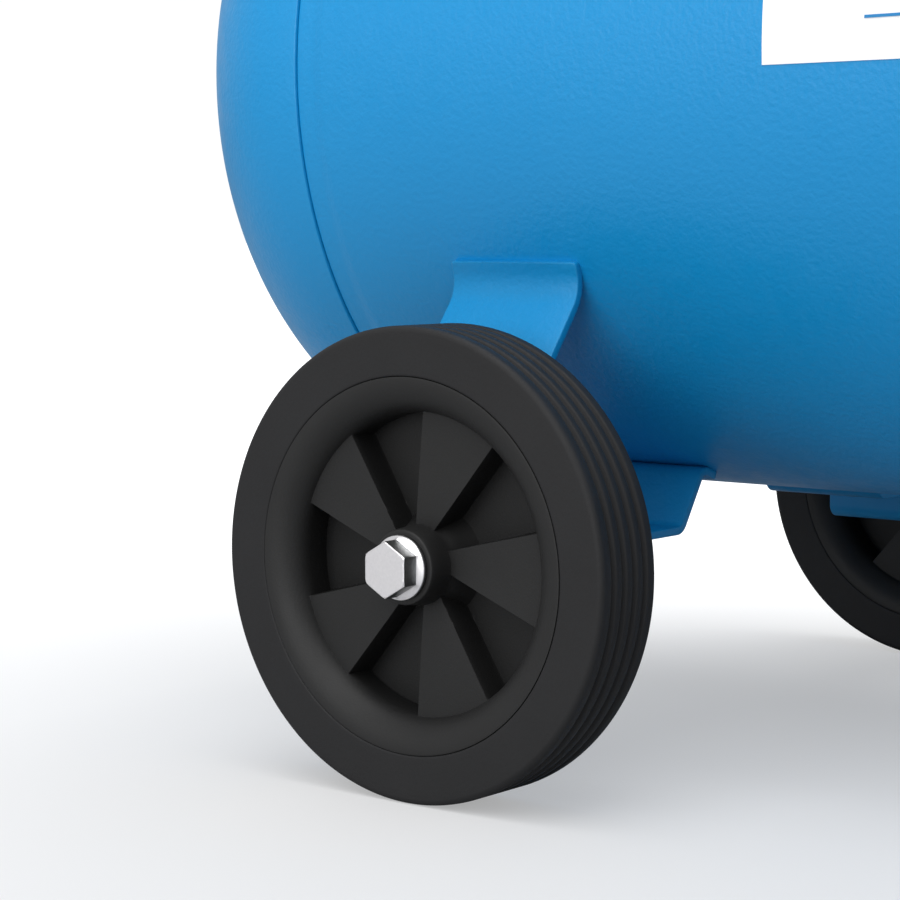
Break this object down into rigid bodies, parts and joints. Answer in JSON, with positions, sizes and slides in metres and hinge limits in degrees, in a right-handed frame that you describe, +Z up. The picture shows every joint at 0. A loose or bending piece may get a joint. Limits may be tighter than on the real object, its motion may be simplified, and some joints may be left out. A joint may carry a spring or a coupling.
{
  "type": "portable air compressor",
  "caption": "Belt-driven piston air compressor on a horizontal receiver tank, with carry handle, rear wheels, front foot, pressure switch, regulator, gauges and quick coupler.",
  "frame": {"origin": "on the floor, at the centre of the footprint", "axes": "+X towards the handle and front foot, along the tank; +Z up; the belt guard is on the -Y side"},
  "size_m": [0.88, 0.4016, 0.708],
  "materials": {
    "tank_blue": "satin gloss powder coat",
    "label_white": "satin vinyl film",
    "tyre_rubber": "matt",
    "rim_plastic": "satin moulded",
    "zinc_steel": "zinc plated, satin",
    "soft_rubber": "matt",
    "motor_grey": "satin enamel",
    "black_plastic": "fine grain",
    "machined_steel": "machined",
    "red_plastic": "gloss",
    "aluminium_cast": "as cast",
    "iron_grey": "painted casting",
    "belt_rubber": "matt",
    "guard_black": "satin powder coat",
    "filter_paper": "pleated",
    "pipe_copper": "drawn copper",
    "brass": "machined",
    "chrome": "polished",
    "clear_glass": "clear",
    "needle_black": "matt"
  },
  "bodies": {
    "frame": {"ball_valve_body": "brass", "bearings": "machined_steel", "belt_guard": "guard_black", "cable_glands": "black_plastic", "check_valve_body": "brass", "connecting_rods": "aluminium_cast", "coupler_body": "brass", "crankcase": "iron_grey", "crankcase_covers": "aluminium_cast", "cylinder_block": "iron_grey", "cylinder_head": "aluminium_cast", "delivery_pipes": "pipe_copper", "drain_valve_body": "brass", "drive_belt": "belt_rubber", "fasteners": "zinc_steel", "filter_element": "filter_paper", "filter_housing": "black_plastic", "foot_pads": "soft_rubber", "front_foot": "tank_blue", "gauge_cases": "chrome", "gauge_glasses": "clear_glass", "handle_grip": "soft_rubber", "handle_tube": "tank_blue", "manifold_block": "brass", "motor_end_shields": "motor_grey", "motor_fan_cowl": "black_plastic", "motor_housing": "motor_grey", "motor_stator": "machined_steel", "oil_filler_plug": "red_plastic", "pistons": "aluminium_cast", "platform": "tank_blue", "pressure_switch_base": "black_plastic", "pressure_switch_cover": "black_plastic", "regulator_body": "aluminium_cast", "tank_bosses": "tank_blue", "tank_heads": "tank_blue", "tank_labels": "label_white", "tank_saddles": "tank_blue", "tank_shell": "tank_blue", "terminal_box": "black_plastic", "wheel_bolts": "zinc_steel", "wheel_brackets": "tank_blue"},
    "right_wheel": {"tyre_right": "tyre_rubber", "rim_right": "rim_plastic"},
    "left_wheel": {"tyre_left": "tyre_rubber", "rim_left": "rim_plastic"},
    "crank_set": {"crankshaft": "machined_steel", "flywheel": "iron_grey"},
    "rotor_set": {"motor_rotor": "machined_steel", "motor_fan": "black_plastic", "motor_pulley": "aluminium_cast"},
    "tank_needle": {"tank_gauge_needle": "needle_black"},
    "outlet_needle": {"outlet_gauge_needle": "needle_black"},
    "safety_pull": {"safety_valve_pull": "machined_steel"},
    "regulator_dial": {"regulator_knob": "black_plastic"},
    "valve_lever": {"ball_valve_lever": "red_plastic"},
    "quick_sleeve": {"coupler_sleeve": "machined_steel"},
    "power_knob": {"switch_knob": "red_plastic"},
    "motor_reset": {"reset_button": "red_plastic"},
    "drain_tap": {"drain_screw": "brass"}
  },
  "joints": [
    {"name": "right_wheel_spin", "type": "hinge", "parent": "frame", "child": "right_wheel", "pos_m": [-0.2544, -0.1762, 0.076], "axis": [0, 1, 0], "continuous": true},
    {"name": "left_wheel_spin", "type": "hinge", "parent": "frame", "child": "left_wheel", "pos_m": [-0.2544, 0.1762, 0.076], "axis": [0, 1, 0], "continuous": true},
    {"name": "crank_spin", "type": "hinge", "parent": "frame", "child": "crank_set", "pos_m": [0.06, -0.117, 0.503], "axis": [0, 1, 0], "continuous": true},
    {"name": "rotor_spin", "type": "hinge", "parent": "frame", "child": "rotor_set", "pos_m": [-0.16, -0.117, 0.483], "axis": [0, 1, 0], "continuous": true},
    {"name": "tank_gauge_reading", "type": "hinge", "parent": "frame", "child": "tank_needle", "pos_m": [0.19, -0.045, 0.44], "axis": [0, 1, 0], "range_deg": [0, 270], "stiffness_Nm_per_rad": 0.0005},
    {"name": "outlet_gauge_reading", "type": "hinge", "parent": "frame", "child": "outlet_needle", "pos_m": [0.243, -0.04, 0.44], "axis": [0, 1, 0], "range_deg": [0, 270], "stiffness_Nm_per_rad": 0.0005},
    {"name": "safety_valve_pull_out", "type": "slide", "parent": "frame", "child": "safety_pull", "axis": [0, 1, 0], "range_m": [0, 0.003], "stiffness_N_per_m": 1500},
    {"name": "regulator_turn", "type": "hinge", "parent": "frame", "child": "regulator_dial", "pos_m": [0.243, 0, 0.48], "axis": [0, 0, 1], "range_deg": [0, 720]},
    {"name": "outlet_valve_turn", "type": "hinge", "parent": "frame", "child": "valve_lever", "pos_m": [0.29, 0, 0.46], "axis": [0, 0, 1], "range_deg": [0, 90]},
    {"name": "coupler_sleeve_pull", "type": "slide", "parent": "frame", "child": "quick_sleeve", "axis": [-1, 0, 0], "range_m": [0, 0.005], "stiffness_N_per_m": 1200},
    {"name": "power_knob_pull", "type": "slide", "parent": "frame", "child": "power_knob", "axis": [0, 0, 1], "range_m": [0, 0.008]},
    {"name": "motor_reset_press", "type": "slide", "parent": "frame", "child": "motor_reset", "axis": [0, 0, -1], "range_m": [0, 0.002], "stiffness_N_per_m": 1200},
    {"name": "drain_tap_turn", "type": "hinge", "parent": "frame", "child": "drain_tap", "pos_m": [-0.02, 0, 0.06], "axis": [0, 0, 1], "range_deg": [0, 360]}
  ],
  "couplings": [
    {"joint": "rotor_spin", "follows": "crank_spin", "ratio": 2.75}
  ]
}
